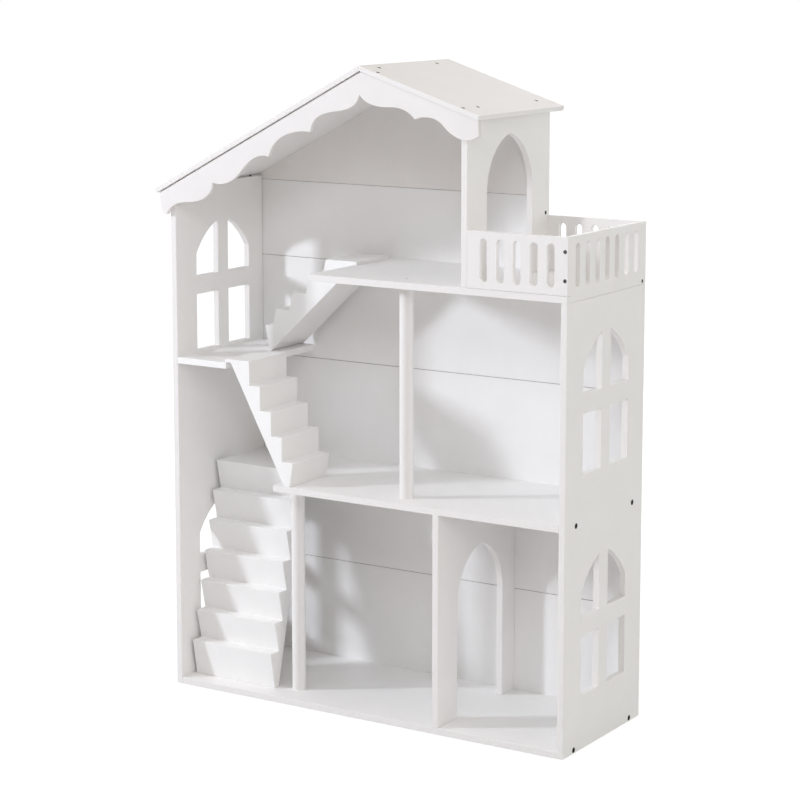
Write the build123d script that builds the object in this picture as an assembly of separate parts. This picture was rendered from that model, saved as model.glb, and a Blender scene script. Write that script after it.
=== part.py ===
from build123d import *
import math
import os

# Three-storey wooden dollhouse: painted boards, grooved back boards, three stair flights,
# two roof boards over a scalloped fascia and a balcony with slotted rails.
# House coordinates, in mm: x from the left panel's outer face, y from the front plane
# towards the back, z up from the ground. Each node is moved to the part's own origin,
# the bottom centre of the whole object's box, when it is written.

# --- Driving dimensions -----------------------------------------------------------------
WIDTH = 828.0            # over the two side panels
DEPTH = 289.0            # side panels, front to back
BOARD = 12.0             # walls and floors
THIN_BOARD = 9.0         # roof, fascia and rails
BACK_BOARD = 6.0
BACK_Y = 273.0           # front face of the back boards
GROOVE = 6.0             # how deep the back boards sit in the side panels
GROOVE_PLAY = 1.0        # open width of each groove in front of the back boards
SEAM_GAP = 0.7           # between one back board and the next
RAIL_GAP = 0.5           # under the balcony's rails
PANEL_TOP_GAP = 0.3      # between the left panel's outer edge and the roof

GROUND_TOP = BOARD
MIDDLE_TOP = 409.0
LANDING_TOP = 626.0
TOP_TOP = 802.0
RAIL_TOP = 901.0
SEAMS = (0.0, 205.0, 401.0, 597.0, 790.0, 936.0)   # lower edges of the back boards

RIDGE_X, RIDGE_Z = 421.5, 1175.0                   # top of the ridge
LEFT_SLOPE = math.radians(27.8)
RIGHT_SLOPE = math.radians(17.85)
LEFT_EAVE, RIGHT_EAVE = -27.0, 663.0               # upper corner of each roof board's end
ROOF_FRONT = -12.5
FASCIA_GAP = 1.5                                   # open joint over the fascia's left half

NOTCH_END, NOTCH_BACK = 225.0, 145.0               # stair opening in the middle floor
LANDING_END, LANDING_WIDE_END = 122.0, 140.0
LANDING_STEP, LANDING_BACK = 122.0, 259.0
TOP_FLOOR_START = 305.0
PARTITION_X = 565.5
TOWER_X = 621.5

DOOR_WIDTH, DOOR_ARCH = 160.0, 100.0
DOOR_CENTRE = 147.0
PARTITION_SPRING, TOWER_SPRING = 218.0, 957.0      # where each door's arch begins

PANE_WIDTH, MULLION = 67.0, 32.0
PANE_HEIGHT, TRANSOM, SHOULDER = 105.0, 34.5, 42.0
ARCH_RADIUS, ARCH_CENTRE = 145.0, 124.0            # window arch, centre measured from the jamb
LEFT_SILLS, RIGHT_SILLS = (97.5, 631.0), (97.5, 488.0)

FLIGHT_WIDTHS = ((18.0, 199.0), (2.0, 121.0), (150.0, 258.0))   # lower, middle, upper
STEP_LIP = 4.0                                     # lower flight's top tread over the floor

POST_RADIUS = 12.5
GROUND_POST, UPPER_POST = (239.0, 60.0), (484.0, 45.0)

HEAD_RADIUS = 3.5                                  # head of the wood screws
TOWER_SCREW_Z = 906.0
SLOT_WIDTH, SLOT_HEIGHT, SLOT_Z = 15.0, 75.0, 851.5
FRONT_SLOTS, FRONT_PITCH = 5, 32.4
SIDE_SLOTS, SIDE_PITCH = 7, 35.7
SIDE_SLOTS_CENTRE = 143.0

DOWEL_RADIUS, DOWEL_LENGTH = 3.0, 16.0

TOWER_RIGHT = TOWER_X + BOARD
RIGHT_INNER = WIDTH - BOARD
RAIL_INNER = WIDTH - THIN_BOARD
BACK_RAIL_Y = DEPTH - THIN_BOARD
MIDDLE_UNDER = MIDDLE_TOP - BOARD
LANDING_UNDER = LANDING_TOP - BOARD
TOP_UNDER = TOP_TOP - BOARD

# Bottom centre of the whole object's box.
ORIGIN = ((LEFT_EAVE + WIDTH) / 2, (ROOF_FRONT + DEPTH) / 2, 0)

# Lower edge of the fascia: smooth curves in x and z that meet in cusps.
FASCIA_CURVES = (
    ((-2, 891.5), (7, 904), (24, 913.5), (55, 917.5), (85, 927), (99, 940), (103.5, 955.5)),
    ((103.5, 955.5), (119, 953.5), (153, 966), (177, 990), (200, 1006), (228, 1008)),
    ((228, 1008), (245, 1036), (277, 1052.5), (318, 1055.5)),
    ((318, 1055.5), (334, 1082.5), (370, 1093.5), (404, 1102), (421.5, 1124)),
    ((421.5, 1124), (440, 1110), (472, 1104.5), (500, 1104), (521, 1096.5), (533.5, 1085.5)),
    ((533.5, 1085.5), (556, 1090), (579, 1085.5), (599, 1069), (628, 1055), (661, 1062)),
)
FASCIA_TIP = ((-15.5, 904), (-9.5, 892))           # blunt corner at the left end


# --- Shape helpers ----------------------------------------------------------------------
def block(x0, x1, y0, y1, z0, z1):
    """A board between two corners."""
    corner = (Align.MIN, Align.MIN, Align.MIN)
    return Pos(x0, y0, z0) * Box(x1 - x0, y1 - y0, z1 - z0, align=corner)


def board_xz(edges, y0, y1):
    """A board with its outline in x and z, from y0 back to y1."""
    return extrude(Plane.XZ.offset(-y1) * make_face(edges), y1 - y0)


def board_yz(edges, x0, x1):
    """A board with its outline in y and z, from x0 to x1."""
    return extrude(Plane.YZ.offset(x0) * make_face(edges), x1 - x0)


def cut(board, tools):
    """The board less every tool."""
    for tool in tools:
        board = board - tool
    return board


def roof_under(x):
    """Height of the roof's underside at x."""
    slope = LEFT_SLOPE if x < RIDGE_X else RIGHT_SLOPE
    return RIDGE_Z - abs(x - RIDGE_X) * math.tan(slope) - THIN_BOARD / math.cos(slope)


# --- Openings in the boards -------------------------------------------------------------
def arch_rise(distance):
    """Rise of the window arch above its shoulder, at a distance from the jamb."""
    start = math.sqrt(ARCH_RADIUS**2 - ARCH_CENTRE**2)
    return math.sqrt(ARCH_RADIUS**2 - (ARCH_CENTRE - distance) ** 2) - start


def window(x0, x1, sill):
    """Cutters for the four panes of one pointed window."""
    low_top = sill + PANE_HEIGHT
    high_sill = low_top + TRANSOM
    spring = high_sill + SHOULDER
    cutters = []
    for side in (-1, 1):
        inner = DEPTH / 2 + side * MULLION / 2
        jamb = inner + side * PANE_WIDTH
        low = Polyline((inner, sill), (jamb, sill), (jamb, low_top), (inner, low_top), close=True)
        middle = (jamb - side * PANE_WIDTH / 2, spring + arch_rise(PANE_WIDTH / 2))
        top = (inner, spring + arch_rise(PANE_WIDTH))
        high = Polyline(top, (inner, high_sill), (jamb, high_sill), (jamb, spring))
        high += ThreePointArc((jamb, spring), middle, top)
        cutters += [board_yz(low, x0, x1), board_yz(high, x0, x1)]
    return cutters


def doorway(x0, x1, floor, spring):
    """Cutter for a pointed doorway that is open down to the floor."""
    half = DOOR_WIDTH / 2
    radius = (half**2 + DOOR_ARCH**2) / DOOR_WIDTH
    turn = math.asin(DOOR_ARCH / radius) / 2
    inset = radius * (1 - math.cos(turn))
    rise = radius * math.sin(turn)
    front = DOOR_CENTRE - half
    back = DOOR_CENTRE + half
    apex = (DOOR_CENTRE, spring + DOOR_ARCH)
    outline = Polyline((back, spring), (back, floor), (front, floor), (front, spring))
    outline += ThreePointArc((front, spring), (front + inset, spring + rise), apex)
    outline += ThreePointArc(apex, (back - inset, spring + rise), (back, spring))
    return board_yz(outline, x0, x1)


def slot(place):
    """Cutter for one rounded upright slot, through any thin rail."""
    reach = 3 * THIN_BOARD
    middle = Box(SLOT_WIDTH, reach, SLOT_HEIGHT - SLOT_WIDTH)
    end = Rot(90, 0, 0) * Cylinder(SLOT_WIDTH / 2, reach)
    offset = (SLOT_HEIGHT - SLOT_WIDTH) / 2
    return place * (middle + Pos(0, 0, offset) * end + Pos(0, 0, -offset) * end)


def spread(centre, pitch, count):
    """Centres of a row of equal features."""
    return [centre + pitch * (k - (count - 1) / 2) for k in range(count)]


# --- Fasteners --------------------------------------------------------------------------
def countersunk(head_radius, shank_radius, length):
    """A countersunk screw without its drive, head at the origin and shank towards -z."""
    depth = head_radius - shank_radius
    head = Pos(0, 0, -depth / 2) * Cone(shank_radius, head_radius, depth)
    shank = Pos(0, 0, -length / 2) * Cylinder(shank_radius, length)
    return head + shank


def cross_drive(width, depth):
    """Cutter for a cross recess."""
    bar = Pos(0, 0, -depth / 2) * Box(width, width / 4, depth)
    return bar + Rot(0, 0, 90) * bar


def hex_drive(width, depth):
    """Cutter for a hexagon socket."""
    return extrude(RegularPolygon(width / 2, 6, major_radius=False), -depth)


BOLT = countersunk(5.0, 2.5, 45.0)
BOLT_DRIVE = hex_drive(4.2, 2.2)
SCREW = countersunk(HEAD_RADIUS, 1.75, 22.0)
SCREW_DRIVE = cross_drive(4.0, 1.4)
SCREW_BORE = SCREW + Pos(0, 0, 4) * Cylinder(HEAD_RADIUS, 8)
SHORT_SCREW = countersunk(2.6, 1.3, 16.0)
SHORT_DRIVE = cross_drive(2.8, 1.0)
DOWEL = Cylinder(DOWEL_RADIUS, DOWEL_LENGTH)

FROM_LEFT = Rot(0, -90, 0)       # head faces -x
FROM_RIGHT = Rot(0, 90, 0)       # head faces +x
FROM_FRONT = Rot(90, 0, 0)       # head faces -y
FROM_BACK = Rot(-90, 0, 0)       # head faces +y
FROM_BELOW = Rot(180, 0, 0)      # head faces -z


def roof_screw_place(x, y):
    """A screw square to the sloping roof, its head flush with the top."""
    turn = -LEFT_SLOPE if x < RIDGE_X else RIGHT_SLOPE
    height = RIDGE_Z - (x - RIDGE_X) * math.tan(turn)
    return Pos(x, y, height) * Rot(0, math.degrees(turn), 0)


def bolt_places():
    """Bolts through the side panels into the ends of the floors."""
    right = [(y, z) for z in (GROUND_TOP - 6, MIDDLE_TOP - 6) for y in (40, 250)]
    left = [(40, GROUND_TOP - 6), (250, GROUND_TOP - 6), (175, MIDDLE_TOP - 6), (250, MIDDLE_TOP - 6)]
    left += [(40, LANDING_TOP - 6), (225, LANDING_TOP - 6)]
    places = [Pos(WIDTH, y, z) * FROM_RIGHT for y, z in right]
    return places + [Pos(0, y, z) * FROM_LEFT for y, z in left]


def roof_screw_places():
    """Screws through the roof boards into the fascia, the walls and the ridge cleat."""
    points = [(457, -4.5), (628, -4.5), (630, 41), (630, 245), (438, 29), (438, 221)]
    points += [(405, 29), (405, 221), (-0.5, 41), (-0.5, 245)]
    return [roof_screw_place(x, y) for x, y in points]


def rail_screw_places():
    """Screws from the front rail into the side rail, and from that into the floor."""
    places = [Pos(WIDTH - 5, 0, z) * FROM_FRONT for z in (827.5, 876.5)]
    return places + [Pos(WIDTH, 277, TOP_TOP - BOARD / 2) * FROM_RIGHT]


def tower_screw_place():
    """One screw through the tower wall into the end of a back board."""
    return Pos(TOWER_RIGHT, BACK_Y + BACK_BOARD / 2, TOWER_SCREW_Z) * FROM_RIGHT


def post_screw_places():
    """Screws through the floors into both ends of the two posts, slightly sunk."""
    sunk = 0.8
    places = [Pos(*GROUND_POST, sunk) * FROM_BELOW, Pos(*GROUND_POST, MIDDLE_TOP - sunk)]
    places.append(Pos(*UPPER_POST, MIDDLE_UNDER + sunk) * FROM_BELOW)
    return places + [Pos(*UPPER_POST, TOP_TOP - sunk)]


def back_screw_places():
    """Short screws through the back boards into the floors and the partition."""
    points = [(x, z) for x in (110, 310, 510, 710) for z in (GROUND_TOP - 6, MIDDLE_TOP - 3.5)]
    points += [(x, TOP_TOP - 6) for x in (350, 470, 590)]
    points += [(PARTITION_X + BOARD / 2, z) for z in (100, 300)]
    return [Pos(x, BACK_Y + BACK_BOARD, z) * FROM_BACK for x, z in points]


def dowel_places():
    """Hidden dowels under the standing walls and the rails, and over the partition."""
    partition = PARTITION_X + BOARD / 2
    places = [Pos(partition, y, z) for z in (GROUND_TOP, MIDDLE_UNDER) for y in (30, 250)]
    places += [Pos(TOWER_X + BOARD / 2, y, TOP_TOP) for y in (35, 255)]
    rails = (THIN_BOARD / 2, DEPTH - THIN_BOARD / 2)
    places += [Pos(x, y, TOP_TOP) for y in rails for x in (682, 779)]
    return places + [Pos(WIDTH - THIN_BOARD / 2, y, TOP_UNDER) for y in (55, 230)]


BOLTS = bolt_places()
ROOF_SCREWS = roof_screw_places()
RAIL_SCREWS = rail_screw_places()
TOWER_SCREW = tower_screw_place()
POST_SCREWS = post_screw_places()
BACK_SCREWS = back_screw_places()
DOWELS = dowel_places()
BOLT_HOLES = [place * BOLT for place in BOLTS]
ROOF_HOLES = [place * SCREW for place in ROOF_SCREWS]
RAIL_HOLES = [place * SCREW for place in RAIL_SCREWS]
TOWER_HOLE = TOWER_SCREW * SCREW
POST_HOLES = [place * SCREW_BORE for place in POST_SCREWS]
BACK_HOLES = [place * SHORT_SCREW for place in BACK_SCREWS]
DOWEL_HOLES = [place * DOWEL for place in DOWELS]


# --- Walls ------------------------------------------------------------------------------
def back_groove(x0, low, high):
    """Cutter for the upright groove that holds the ends of the back boards."""
    return block(x0, x0 + GROOVE, BACK_Y - GROOVE_PLAY, BACK_Y + BACK_BOARD, low, high)


def left_side_panel():
    """Full-height wall with two windows; its square top meets the roof at the outer edge."""
    wall = block(0, BOARD, 0, DEPTH, 0, roof_under(0) - PANEL_TOP_GAP)
    groove = back_groove(BOARD - GROOVE, 0, RIDGE_Z)
    panes = [pane for sill in LEFT_SILLS for pane in window(0, BOARD, sill)]
    return cut(wall, [groove] + panes + BOLT_HOLES + ROOF_HOLES)


def right_side_panel():
    """Wall up to the balcony, with two windows."""
    wall = block(RIGHT_INNER, WIDTH, 0, DEPTH, 0, TOP_UNDER)
    groove = back_groove(RIGHT_INNER, 0, TOP_UNDER)
    panes = [pane for sill in RIGHT_SILLS for pane in window(RIGHT_INNER, WIDTH, sill)]
    return cut(wall, [groove] + panes + BOLT_HOLES + DOWEL_HOLES)


def partition_wall():
    """Wall with a pointed doorway between the two ground-floor rooms."""
    x0, x1 = PARTITION_X, PARTITION_X + BOARD
    wall = block(x0, x1, 0, BACK_Y, GROUND_TOP, MIDDLE_UNDER)
    door = doorway(x0, x1, GROUND_TOP, PARTITION_SPRING)
    return cut(wall, [door] + DOWEL_HOLES + BACK_HOLES)


def tower_wall():
    """Wall between the attic and the balcony, with its top cut to the roof's slope."""
    x0, x1 = TOWER_X, TOWER_RIGHT
    outline = Polyline((x0, TOP_TOP), (x1, TOP_TOP), (x1, roof_under(x1)), (x0, roof_under(x0)), close=True)
    wall = board_xz(outline, 0, DEPTH)
    door = doorway(x0, x1, TOP_TOP, TOWER_SPRING)
    groove = back_groove(x0, TOP_TOP, RIDGE_Z)
    return cut(wall, [door, groove, TOWER_HOLE] + DOWEL_HOLES + ROOF_HOLES)


def back_board(low, high):
    """Thin board across the back; the one above the balcony floor ends in the tower wall."""
    right = RIGHT_INNER + GROOVE if high <= TOP_UNDER else TOWER_X + GROOVE
    board = block(BOARD - GROOVE, right, BACK_Y, BACK_Y + BACK_BOARD, low, high - SEAM_GAP)
    return cut(board, BACK_HOLES + [TOWER_HOLE])


def back_gable_board():
    """Topmost back board, cut to both slopes of the roof."""
    x0, x1, low = BOARD - GROOVE, TOWER_X + GROOVE, SEAMS[-1]
    peak = (RIDGE_X, roof_under(RIDGE_X - 0.01))
    outline = Polyline((x0, low), (x1, low), (x1, roof_under(x1)), peak, (x0, roof_under(x0)), close=True)
    return board_xz(outline, BACK_Y, BACK_Y + BACK_BOARD)


# --- Floors -----------------------------------------------------------------------------
def ground_floor():
    """Bottom board between the side panels."""
    board = block(BOARD, RIGHT_INNER, 0, BACK_Y, 0, GROUND_TOP)
    return cut(board, BOLT_HOLES + POST_HOLES + BACK_HOLES + DOWEL_HOLES)


def middle_floor():
    """Board between the side panels with an opening for the lower flight."""
    board = block(BOARD, RIGHT_INNER, 0, BACK_Y, MIDDLE_UNDER, MIDDLE_TOP)
    opening = block(BOARD, NOTCH_END, 0, NOTCH_BACK, MIDDLE_UNDER, MIDDLE_TOP)
    return cut(board, [opening] + BOLT_HOLES + POST_HOLES + BACK_HOLES + DOWEL_HOLES)


def top_floor():
    """Attic and balcony floor; deeper and wider under the balcony's rails."""
    board = block(TOP_FLOOR_START, RAIL_INNER, 0, BACK_Y, TOP_UNDER, TOP_TOP)
    board += block(TOWER_X + GROOVE, RAIL_INNER, BACK_Y, DEPTH, TOP_UNDER, TOP_TOP)
    board += block(RAIL_INNER, WIDTH, 0, THIN_BOARD, TOP_UNDER, TOP_TOP)
    return cut(board, POST_HOLES + BACK_HOLES + DOWEL_HOLES + RAIL_HOLES)


def stair_landing():
    """Half landing between the middle and upper flights."""
    board = block(BOARD, LANDING_END, 0, LANDING_BACK, LANDING_UNDER, LANDING_TOP)
    board += block(BOARD, LANDING_WIDE_END, LANDING_STEP, LANDING_BACK, LANDING_UNDER, LANDING_TOP)
    return cut(board, BOLT_HOLES)


# --- Stairs and posts -------------------------------------------------------------------
def lower_stair():
    """Steep flight from the ground floor, front to back, with seven undercut steps."""
    points = [(38, GROUND_TOP)]
    for k in range(7):
        y, z = 26 + 13.5 * k, 80 + 55.5 * k
        points += [(y, z), (y + 26, z)]
    lip_back = NOTCH_BACK + 7
    points[-1] = (lip_back, MIDDLE_TOP + STEP_LIP)
    points += [(lip_back, MIDDLE_TOP), (NOTCH_BACK, MIDDLE_TOP), (NOTCH_BACK, MIDDLE_UNDER), (51, GROUND_TOP)]
    return board_yz(Polyline(*points, close=True), *FLIGHT_WIDTHS[0])


def middle_stair():
    """Flight along the front, from the middle floor up to the landing on the left."""
    rise, going = 44.65, 23.75
    points = [(261, MIDDLE_TOP)]
    for k in range(5):
        x, z = 268 - going * k, MIDDLE_TOP + rise * (k + 1)
        points += [(x, z), (x - going, z)]
    lip_end = LANDING_END - 4
    points[-1] = (lip_end, points[-1][1])
    points += [(lip_end, LANDING_TOP), (131.5, LANDING_TOP), (248, MIDDLE_TOP)]
    return board_xz(Polyline(*points, close=True), *FLIGHT_WIDTHS[1])


def upper_stair():
    """Flight along the back, from the landing to the attic floor."""
    rise, going, overhang = 33.5, 37.5, 8
    points = [(114, LANDING_TOP), (104, 674)]
    for k in range(4):
        x, z = 129.5 + going * k, 674 + rise * (k + 1)
        points += [(x - overhang, z - rise), (x, z)]
    lip_end = TOP_FLOOR_START + 5
    points += [(lip_end, z), (lip_end, TOP_TOP), (TOP_FLOOR_START, TOP_TOP)]
    points += [(TOP_FLOOR_START, TOP_UNDER), (293, TOP_UNDER), (117, LANDING_TOP)]
    return board_xz(Polyline(*points, close=True), *FLIGHT_WIDTHS[2])


def post(centre, low, high):
    """Round post between two floors."""
    rod = Pos(*centre, (low + high) / 2) * Cylinder(POST_RADIUS, high - low)
    return cut(rod, POST_HOLES)


# --- Roof -------------------------------------------------------------------------------
def roof_board(eave_x, slope):
    """One slope of the roof: end square to the board, upright joint at the ridge."""
    side = 1 if eave_x > RIDGE_X else -1
    eave = (eave_x, RIDGE_Z - abs(eave_x - RIDGE_X) * math.tan(slope))
    eave_under = (eave_x - side * THIN_BOARD * math.sin(slope), eave[1] - THIN_BOARD * math.cos(slope))
    ridge = (RIDGE_X, RIDGE_Z)
    ridge_under = (RIDGE_X, RIDGE_Z - THIN_BOARD / math.cos(slope))
    board = board_xz(Polyline(eave, ridge, ridge_under, eave_under, close=True), ROOF_FRONT, DEPTH)
    return cut(board, ROOF_HOLES)


def scalloped_fascia():
    """Board under the roof's front edge, with a cusped and scalloped lower edge."""
    left, right = -19, 660
    gap = FASCIA_GAP / math.cos(LEFT_SLOPE)
    peak_z = roof_under(RIDGE_X - 0.01) - gap
    joint_x = RIDGE_X + 4
    start, end = FASCIA_CURVES[0][0], FASCIA_CURVES[-1][-1]
    top = [end, (right, roof_under(right)), (joint_x, roof_under(joint_x)), (RIDGE_X, peak_z)]
    top += [(left, roof_under(left) - gap), *FASCIA_TIP, start]
    outline = Polyline(*top)
    for curve in FASCIA_CURVES:
        outline += Spline(*curve)
    return cut(board_xz(outline, -THIN_BOARD, 0), ROOF_HOLES)


def ridge_cleat():
    """Batten under the ridge that both roof boards are screwed to."""
    x0, x1, low = RIDGE_X - 26, RIDGE_X + 26, 1132
    peak = (RIDGE_X, roof_under(RIDGE_X - 0.01))
    outline = Polyline((x0, low), (x1, low), (x1, roof_under(x1)), peak, (x0, roof_under(x0)), close=True)
    return cut(board_xz(outline, 15, 255), ROOF_HOLES)


# --- Balcony rails ----------------------------------------------------------------------
def cross_rail(x1, y0):
    """Slotted rail along x, from the tower wall to x1."""
    rail = block(TOWER_RIGHT, x1, y0, y0 + THIN_BOARD, TOP_TOP + RAIL_GAP, RAIL_TOP)
    centres = spread((TOWER_RIGHT + WIDTH) / 2, FRONT_PITCH, FRONT_SLOTS)
    slots = [slot(Pos(x, y0, SLOT_Z)) for x in centres]
    return cut(rail, slots + RAIL_HOLES + DOWEL_HOLES)


def side_rail():
    """Slotted rail that stands on the right side panel."""
    rail = block(RAIL_INNER, WIDTH, THIN_BOARD, DEPTH, TOP_UNDER + RAIL_GAP, RAIL_TOP)
    centres = spread(SIDE_SLOTS_CENTRE, SIDE_PITCH, SIDE_SLOTS)
    slots = [slot(Pos(WIDTH, y, SLOT_Z) * Rot(0, 0, 90)) for y in centres]
    return cut(rail, slots + RAIL_HOLES + DOWEL_HOLES)


# --- Assembly ---------------------------------------------------------------------------
def group(places, shape, drive=None):
    """Identical fasteners as separate solids of one node."""
    single = shape - drive if drive else shape
    return Compound([place * single for place in places])


def nodes():
    """Every node of the dollhouse by name."""
    parts = {
        "left_side_panel": left_side_panel(),
        "right_side_panel": right_side_panel(),
        "ground_floor": ground_floor(),
        "middle_floor": middle_floor(),
        "top_floor": top_floor(),
        "stair_landing": stair_landing(),
        "partition_wall": partition_wall(),
        "tower_wall": tower_wall(),
        "lower_stair": lower_stair(),
        "middle_stair": middle_stair(),
        "upper_stair": upper_stair(),
        "ground_post": post(GROUND_POST, GROUND_TOP, MIDDLE_UNDER),
        "upper_post": post(UPPER_POST, MIDDLE_TOP, TOP_UNDER),
        "left_roof_board": roof_board(LEFT_EAVE, LEFT_SLOPE),
        "right_roof_board": roof_board(RIGHT_EAVE, RIGHT_SLOPE),
        "scalloped_fascia": scalloped_fascia(),
        "ridge_cleat": ridge_cleat(),
        "balcony_front_rail": cross_rail(WIDTH, 0),
        "balcony_side_rail": side_rail(),
        "balcony_back_rail": cross_rail(RAIL_INNER, BACK_RAIL_Y),
        "back_gable_board": back_gable_board(),
        "panel_bolts": group(BOLTS, BOLT, BOLT_DRIVE),
        "roof_screws": group(ROOF_SCREWS, SCREW, SCREW_DRIVE),
        "rail_screws": group(RAIL_SCREWS, SCREW, SCREW_DRIVE),
        "tower_screw": group([TOWER_SCREW], SCREW, SCREW_DRIVE),
        "post_screws": group(POST_SCREWS, SCREW, SCREW_DRIVE),
        "back_board_screws": group(BACK_SCREWS, SHORT_SCREW, SHORT_DRIVE),
        "hidden_dowels": group(DOWELS, DOWEL),
    }
    for k, (low, high) in enumerate(zip(SEAMS, SEAMS[1:])):
        parts[f"back_board_{k + 1}"] = back_board(low, high)
    return parts


os.makedirs("parts", exist_ok=True)
TO_ORIGIN = Pos(-ORIGIN[0], -ORIGIN[1], -ORIGIN[2])
for name, shape in nodes().items():
    export_step(TO_ORIGIN * shape, f"parts/{name}.step")
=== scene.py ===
import math

import bpy
from mathutils import Euler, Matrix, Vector

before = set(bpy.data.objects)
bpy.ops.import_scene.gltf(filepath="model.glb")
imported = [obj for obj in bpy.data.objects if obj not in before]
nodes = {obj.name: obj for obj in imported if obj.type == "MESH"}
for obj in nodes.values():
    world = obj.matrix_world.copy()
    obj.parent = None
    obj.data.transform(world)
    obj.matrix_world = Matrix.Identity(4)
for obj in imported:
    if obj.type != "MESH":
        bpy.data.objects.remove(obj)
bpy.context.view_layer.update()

# --- Camera -----------------------------------------------------------------------------
CAMERA_AT = (2.3060, -3.6304, 1.3739)
CAMERA_YAW = math.radians(32.30)
CAMERA_PITCH = math.radians(8.78)
LENS, SENSOR = 108.2, 36.0
SHIFT_X, SHIFT_Y = 0.0, -0.10


def make_camera():
    """Camera in front of the open side, to the right, looking slightly down."""
    data = bpy.data.cameras.new("camera")
    data.lens = LENS
    data.sensor_width = SENSOR
    data.shift_x = SHIFT_X
    data.shift_y = SHIFT_Y
    camera = bpy.data.objects.new("camera", data)
    camera.location = CAMERA_AT
    camera.rotation_euler = Euler((math.pi / 2 - CAMERA_PITCH, 0, CAMERA_YAW))
    bpy.context.scene.collection.objects.link(camera)
    bpy.context.scene.camera = camera


# --- Light ------------------------------------------------------------------------------
# Each area light: place, size, power and colour. All of them face the middle of the house.
TARGET = (0.0, 0.0, 0.55)
LIGHTS = {
    "left_key": ((-3.69, -2.69, 1.98), (0.41, 0.58), 123.0, (0.87, 0.91, 1.0)),
    "right_fill": ((3.2, -1.2, 1.6), (2.0, 2.0), 15.4, (1.0, 0.94, 0.90)),
    "right_rear_fill": ((3.0, 1.8, 1.5), (2.0, 2.0), 13.0, (0.85, 1.0, 0.97)),
    "front_right_fill": ((1.6, -2.8, 2.4), (0.8, 0.8), 18.3, (0.94, 0.96, 1.0)),
    "front_top_fill": ((0.0, -2.2, 3.2), (2.0, 1.5), 17.5, (0.79, 0.88, 1.0)),
    "top_fill": ((0.0, 0.0, 4.0), (3.0, 3.0), 20.0, (1.0, 0.80, 0.66)),
    "rear_fill": ((0.0, 3.0, 1.5), (3.0, 2.0), 42.0, (0.85, 0.92, 1.0)),
}
AMBIENT = (0.352, 0.331, 0.312)


def area_light(name, at, size, power, colour):
    """A rectangular light facing the house, not seen itself."""
    data = bpy.data.lights.new(name, "AREA")
    data.shape = "RECTANGLE"
    data.size = size[0]
    data.size_y = size[1]
    data.energy = power
    data.color = colour
    light = bpy.data.objects.new(name, data)
    light.location = at
    light.rotation_euler = (Vector(TARGET) - Vector(at)).to_track_quat("-Z", "Y").to_euler()
    light.visible_camera = False
    bpy.context.scene.collection.objects.link(light)


def make_world():
    """Soft ambient light, with plain white behind the object."""
    world = bpy.data.worlds.new("studio")
    world.use_nodes = True
    tree = world.node_tree
    ambient = tree.nodes["Background"]
    ambient.inputs["Color"].default_value = (*AMBIENT, 1)
    backdrop = add(tree, "ShaderNodeBackground", Color=(1, 1, 1, 1), Strength=1.0)
    seen = tree.nodes.new("ShaderNodeLightPath")
    choose = tree.nodes.new("ShaderNodeMixShader")
    tree.links.new(seen.outputs["Is Camera Ray"], choose.inputs["Fac"])
    tree.links.new(ambient.outputs["Background"], choose.inputs[1])
    tree.links.new(backdrop.outputs["Background"], choose.inputs[2])
    tree.links.new(choose.outputs["Shader"], tree.nodes["World Output"].inputs["Surface"])
    bpy.context.scene.world = world
    bpy.context.scene.view_settings.view_transform = "Standard"


# --- Node helpers -----------------------------------------------------------------------
MIX_COLOUR_A, MIX_COLOUR_B, MIX_COLOUR_RESULT = 6, 7, 2    # a Mix node's colour sockets


def new_material(name):
    """An empty principled material: the material, its tree and its shader."""
    material = bpy.data.materials.new(name)
    material.use_nodes = True
    tree = material.node_tree
    return material, tree, tree.nodes["Principled BSDF"]


def add(tree, kind, **values):
    """A node with its input sockets set by name."""
    node = tree.nodes.new(kind)
    for name, value in values.items():
        node.inputs[name.replace("_", " ")].default_value = value
    return node


def noise(tree, scale, detail=3.0, roughness=0.55, stretch=(1, 1, 1)):
    """Noise in object space, optionally stretched along an axis."""
    place = tree.nodes.new("ShaderNodeTexCoord")
    mapping = add(tree, "ShaderNodeMapping", Scale=stretch)
    texture = add(tree, "ShaderNodeTexNoise", Scale=scale, Detail=detail, Roughness=roughness)
    tree.links.new(place.outputs["Object"], mapping.inputs["Vector"])
    tree.links.new(mapping.outputs["Vector"], texture.inputs["Vector"])
    return texture.outputs["Fac"]


def ramp(tree, factor, *stops):
    """A colour ramp between two (position, colour) stops."""
    node = tree.nodes.new("ShaderNodeValToRGB")
    elements = node.color_ramp.elements
    for element, (position, colour) in zip(elements, stops):
        element.position = position
        element.color = (*colour, 1)
    tree.links.new(factor, node.inputs["Fac"])
    return node.outputs["Color"]


def remap(tree, factor, low, high, span=(0.0, 1.0)):
    """The factor, over its span, spread between two values."""
    node = add(tree, "ShaderNodeMapRange", From_Min=span[0], From_Max=span[1], To_Min=low, To_Max=high)
    tree.links.new(factor, node.inputs["Value"])
    return node.outputs["Result"]


def math_node(tree, operation, first, second=None):
    """One math operation on a socket and, if it takes two, a number or another socket."""
    node = tree.nodes.new("ShaderNodeMath")
    node.operation = operation
    tree.links.new(first, node.inputs[0])
    if isinstance(second, float):
        node.inputs[1].default_value = second
    elif second:
        tree.links.new(second, node.inputs[1])
    return node.outputs["Value"]


def mix(tree, factor, a, b):
    """Colour a blended towards colour b."""
    node = tree.nodes.new("ShaderNodeMix")
    node.data_type = "RGBA"
    tree.links.new(factor, node.inputs["Factor"])
    tree.links.new(a, node.inputs[MIX_COLOUR_A])
    tree.links.new(b, node.inputs[MIX_COLOUR_B])
    return node.outputs[MIX_COLOUR_RESULT]


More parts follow.
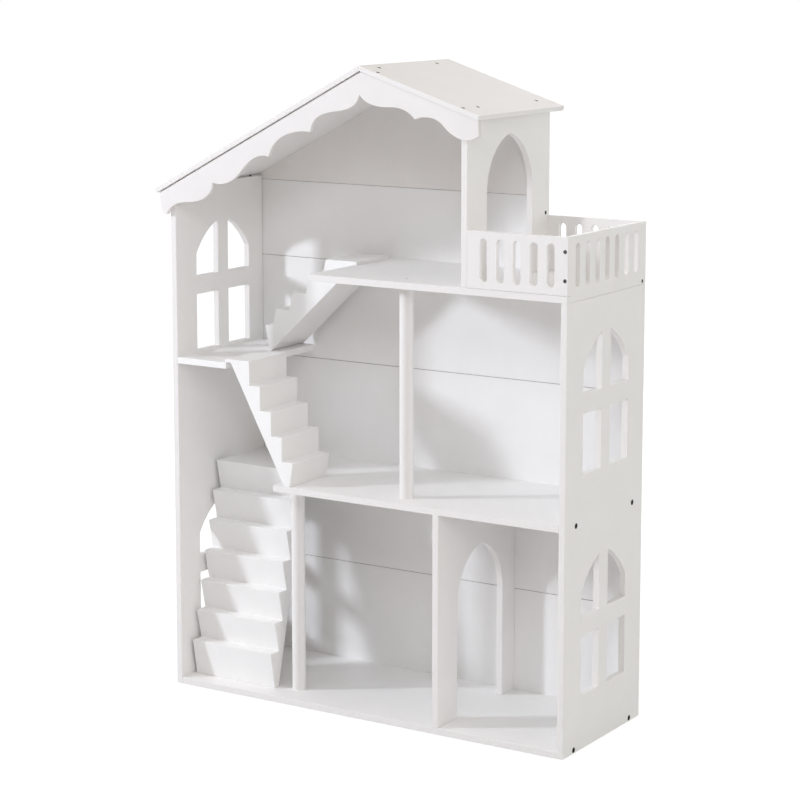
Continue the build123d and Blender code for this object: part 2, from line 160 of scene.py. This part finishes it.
def bump(tree, shader, height, strength, distance, below=None):
    """Adds one layer of relief to the shader's normal."""
    node = add(tree, "ShaderNodeBump", Strength=strength, Distance=distance)
    tree.links.new(height, node.inputs["Height"])
    if below:
        tree.links.new(below, node.inputs["Normal"])
    tree.links.new(node.outputs["Normal"], shader.inputs["Normal"])
    return node.outputs["Normal"]


# --- Materials --------------------------------------------------------------------------
# Noise scales of the paint's detail, from broad clouds to fine stipple.
CLOUDS, GLOSS, GRAIN, ROLLER, CUT_EDGE, STIPPLE = 7.0, 28.0, 60.0, 210.0, 400.0, 900.0
SATIN = (0.40, 0.56)            # roughness of the paint, low and high
FACING_SPAN = (0.45, 0.85)      # how square to the axis a face starts and ends to count
# Paint colours, light and shade.
WHITE, WHITE_SHADE = (0.925, 0.915, 0.90), (0.895, 0.885, 0.87)
BACK_WHITE, BACK_SHADE = (0.92, 0.91, 0.90), (0.885, 0.875, 0.865)
# The gable board's darker, warmer paint is painted shade from the roof above it.
GABLE_SHADED_WHITE, GABLE_SHADED_DARK = (0.885, 0.855, 0.83), (0.845, 0.815, 0.79)
# The fascia's paint is darker than the other boards': painted shade, for less light on the fascia.
FASCIA_SHADED_WHITE, FASCIA_SHADED_DARK = (0.835, 0.81, 0.79), (0.805, 0.78, 0.76)
# Faces square to one axis get two other colours: the unpainted seams between the back boards,
# and painted shade that darkens the other boards' faces towards front and back, mostly cut edges.
RAW_EDGES = ("Z", (0.26, 0.21, 0.17), (0.38, 0.31, 0.25))
PAINTED_EDGE_SHADE = ("Y", (0.815, 0.795, 0.775), (0.845, 0.825, 0.805))
# Dark colour, light colour and roughness of the screws.
BLACKENED = ((0.015, 0.015, 0.017), (0.05, 0.05, 0.055), (0.35, 0.55))
ZINC = ((0.10, 0.10, 0.105), (0.26, 0.26, 0.27), (0.28, 0.45))
BEECH_DARK, BEECH_LIGHT = (0.42, 0.26, 0.14), (0.62, 0.44, 0.27)
ACROSS, UPRIGHT = (0.05, 1, 1), (1, 1, 0.05)    # noise stretched along the grain
STEEL_NODES = {
    "panel_bolts": "dark",
    "roof_screws": "dark",
    "tower_screw": "dark",
    "post_screws": "dark",
    "back_board_screws": "dark",
    "rail_screws": "plain",
}
UPRIGHT_NODES = {
    "left_side_panel",
    "right_side_panel",
    "partition_wall",
    "tower_wall",
    "ground_post",
    "upper_post",
}


def facing(tree, axis):
    """1 on faces square to the axis, either way round, and 0 on faces along it."""
    geometry = tree.nodes.new("ShaderNodeNewGeometry")
    split = tree.nodes.new("ShaderNodeSeparateXYZ")
    tree.links.new(geometry.outputs["Normal"], split.inputs["Vector"])
    either_way = math_node(tree, "ABSOLUTE", split.outputs[axis])
    return remap(tree, either_way, 0.0, 1.0, FACING_SPAN)


def painted(name, light, shade, grain, edges=None):
    """Satin white paint on board: faint cloudiness, roller stipple and telegraphed grain.

    edges gives the faces square to one axis two other colours: unpainted seams, and painted shade on
    board edges.
    """
    material, tree, shader = new_material(name)
    colour = ramp(tree, noise(tree, CLOUDS, 5.0, 0.7), (0.32, shade), (0.68, light))
    # Faces square to the axis take the edge colours: unpainted seams on back boards, painted shade on
    # other boards.
    if edges:
        axis, low, high = edges
        edge_colour = ramp(tree, noise(tree, CUT_EDGE), (0.3, low), (0.7, high))
        colour = mix(tree, facing(tree, axis), colour, edge_colour)
    tree.links.new(colour, shader.inputs["Base Color"])
    tree.links.new(remap(tree, noise(tree, GLOSS), *SATIN), shader.inputs["Roughness"])
    stipple = bump(tree, shader, noise(tree, STIPPLE, 2.0), 0.10, 0.0004)
    roller = bump(tree, shader, noise(tree, ROLLER, 3.0), 0.16, 0.0005, stipple)
    bump(tree, shader, noise(tree, GRAIN, 3.0, stretch=grain), 0.10, 0.0006, roller)
    return material


def steel(name, dark, light, roughness):
    """Screw metal with fine turning marks and a little tarnish."""
    material, tree, shader = new_material(name)
    shader.inputs["Metallic"].default_value = 0.9
    colour = ramp(tree, noise(tree, 900.0), (0.35, dark), (0.65, light))
    tree.links.new(colour, shader.inputs["Base Color"])
    tree.links.new(remap(tree, noise(tree, 500.0), *roughness), shader.inputs["Roughness"])
    bump(tree, shader, noise(tree, 2500.0, 2.0), 0.15, 0.0001)
    return material


def beech():
    """Bare dowel wood with grain along its length."""
    material, tree, shader = new_material("bare_beech")
    grain = noise(tree, 700.0, 4.0, stretch=UPRIGHT)
    colour = ramp(tree, grain, (0.3, BEECH_DARK), (0.7, BEECH_LIGHT))
    tree.links.new(colour, shader.inputs["Base Color"])
    shader.inputs["Roughness"].default_value = 0.6
    bump(tree, shader, grain, 0.2, 0.0002)
    return material


def paint_nodes():
    """Gives every CAD node its material."""
    # Upright and across boards: faces towards front and back are darkened by painted shade.
    upright = painted("painted_board_upright", WHITE, WHITE_SHADE, UPRIGHT, PAINTED_EDGE_SHADE)
    across = painted("painted_board_across", WHITE, WHITE_SHADE, ACROSS, PAINTED_EDGE_SHADE)
    stair = painted("painted_stair", WHITE, WHITE_SHADE, ACROSS)
    # The fascia gets darker paint as painted shade.
    fascia = painted("fascia_paint_darkened_as_shade", FASCIA_SHADED_WHITE, FASCIA_SHADED_DARK, ACROSS)
    back = painted("painted_back_board", BACK_WHITE, BACK_SHADE, ACROSS, RAW_EDGES)
    # The gable board gets darker paint as painted shade under the roof.
    gable = painted("gable_board_paint_darkened_as_shade", GABLE_SHADED_WHITE, GABLE_SHADED_DARK, ACROSS, RAW_EDGES)
    steels = {
        "dark": steel("blackened_steel", *BLACKENED),
        "plain": steel("zinc_steel", *ZINC),
    }
    wood = beech()
    for name, node in nodes.items():
        if name in STEEL_NODES:
            material = steels[STEEL_NODES[name]]
        elif name == "hidden_dowels":
            material = wood
        elif name == "back_gable_board":
            material = gable
        elif name == "scalloped_fascia":
            material = fascia
        elif "stair" in name:
            material = stair
        elif name.startswith("back_"):
            material = back
        else:
            material = upright if name in UPRIGHT_NODES else across
        node.data.materials.clear()
        node.data.materials.append(material)


# --- Edges ------------------------------------------------------------------------------
EDGE_RADIUS = 0.0009
BACK_EDGE_RADIUS = 0.0003    # the thin back boards are barely sanded
WELD_DISTANCE = 0.00001
FLAT = math.radians(0.5)     # faces turned less than this are one face
SHARP = math.radians(35)
SHORTEST = 0.0009            # edges shorter than this are the facets round screw holes
SHORTEST_ON_RAILS = 0.040    # longer than the slots' sides, which stay crisp
ROUND_EDGED = {"upper_post", "ground_post", "hidden_dowels"} | set(STEEL_NODES)


def store(tree, geometry, kind, name, value):
    """Writes a value to each edge of the geometry under a name."""
    node = tree.nodes.new("GeometryNodeStoreNamedAttribute")
    node.data_type = kind
    node.domain = "EDGE"
    node.inputs["Name"].default_value = name
    tree.links.new(geometry, node.inputs["Geometry"])
    tree.links.new(value, node.inputs["Value"])
    return node.outputs["Geometry"]


def edge_marker(name, shortest):
    """A geometry group: long sharp edges get a bevel, and short ones keep a hard shading edge."""
    tree = bpy.data.node_groups.new(name, "GeometryNodeTree")
    for way in ("INPUT", "OUTPUT"):
        tree.interface.new_socket("Geometry", in_out=way, socket_type="NodeSocketGeometry")
    given = tree.nodes.new("NodeGroupInput")
    result = tree.nodes.new("NodeGroupOutput")
    ends = tree.nodes.new("GeometryNodeInputMeshEdgeVertices")
    angle = tree.nodes.new("GeometryNodeInputMeshEdgeAngle")
    length = tree.nodes.new("ShaderNodeVectorMath")
    length.operation = "DISTANCE"
    tree.links.new(ends.outputs["Position 1"], length.inputs[0])
    tree.links.new(ends.outputs["Position 2"], length.inputs[1])
    is_sharp = math_node(tree, "GREATER_THAN", angle.outputs["Unsigned Angle"], SHARP)
    is_long = math_node(tree, "GREATER_THAN", length.outputs["Value"], shortest)
    is_short = math_node(tree, "LESS_THAN", length.outputs["Value"], shortest)
    to_bevel = math_node(tree, "MULTIPLY", is_sharp, is_long)
    to_keep = math_node(tree, "MULTIPLY", is_sharp, is_short)
    marked = store(tree, given.outputs["Geometry"], "FLOAT", "bevel_weight_edge", to_bevel)
    marked = store(tree, marked, "BOOLEAN", "sharp_edge", to_keep)
    tree.links.new(marked, result.inputs["Geometry"])
    return tree


def soften_edges():
    """Rounds the long sharp edges of the painted boards, as sanding and paint do."""
    on_boards = edge_marker("board_edges", SHORTEST)
    on_rails = edge_marker("rail_edges", SHORTEST_ON_RAILS)
    for name, node in nodes.items():
        if name in ROUND_EDGED:
            continue
        weld = node.modifiers.new("weld", "WELD")
        weld.merge_threshold = WELD_DISTANCE
        whole = node.modifiers.new("whole_faces", "DECIMATE")
        whole.decimate_type = "DISSOLVE"
        whole.angle_limit = FLAT
        marked = node.modifiers.new("marked_edges", "NODES")
        marked.node_group = on_rails if name.endswith("_rail") else on_boards
        bevel = node.modifiers.new("sanded_edges", "BEVEL")
        bevel.width = BACK_EDGE_RADIUS if name.startswith("back_") else EDGE_RADIUS
        bevel.segments = 2
        bevel.limit_method = "WEIGHT"
        normals = node.modifiers.new("flat_faces", "WEIGHTED_NORMAL")
        normals.keep_sharp = True


# --- Floor ------------------------------------------------------------------------------
FLOOR_SIZE = 60
BOUNCE_HEIGHT, BOUNCE_ALBEDO = -0.002, 0.80
SEEN_HEIGHT, SEEN_ALBEDO = -0.001, 0.20
GLOW, GLOW_SPAN = (0.86, 1.02), (0.5, 1.6)    # glow of the seen floor, near and far, over metres


def make_plane(name, height, albedo):
    """A large level plane in matt grey: its object and the tree and shader of its material."""
    bpy.ops.mesh.primitive_plane_add(size=FLOOR_SIZE, location=(0, 0, height))
    plane = bpy.context.object
    plane.name = name
    material, tree, shader = new_material(name)
    shader.inputs["Base Color"].default_value = (albedo, albedo, albedo, 1)
    shader.inputs["Roughness"].default_value = 0.9
    shader.inputs["Specular IOR Level"].default_value = 0.0
    plane.data.materials.append(material)
    return plane, tree, shader


def make_floor():
    """A pale floor: one plane reflects light, and one is the plain white that is seen."""
    bounce, _, _ = make_plane("floor_bounce", BOUNCE_HEIGHT, BOUNCE_ALBEDO)
    bounce.visible_camera = False
    seen, tree, shader = make_plane("floor_seen", SEEN_HEIGHT, SEEN_ALBEDO)
    place = tree.nodes.new("ShaderNodeTexCoord")
    distance = tree.nodes.new("ShaderNodeVectorMath")
    distance.operation = "LENGTH"
    tree.links.new(place.outputs["Object"], distance.inputs[0])
    glow = remap(tree, distance.outputs["Value"], *GLOW, GLOW_SPAN)
    tree.links.new(glow, shader.inputs["Emission Strength"])
    shader.inputs["Emission Color"].default_value = (1, 1, 1, 1)
    seen.visible_diffuse = False
    seen.visible_glossy = False
    seen.visible_transmission = False
    seen.visible_shadow = False


make_camera()
make_world()
for light_name, settings in LIGHTS.items():
    area_light(light_name, *settings)
make_floor()
paint_nodes()
soften_edges()
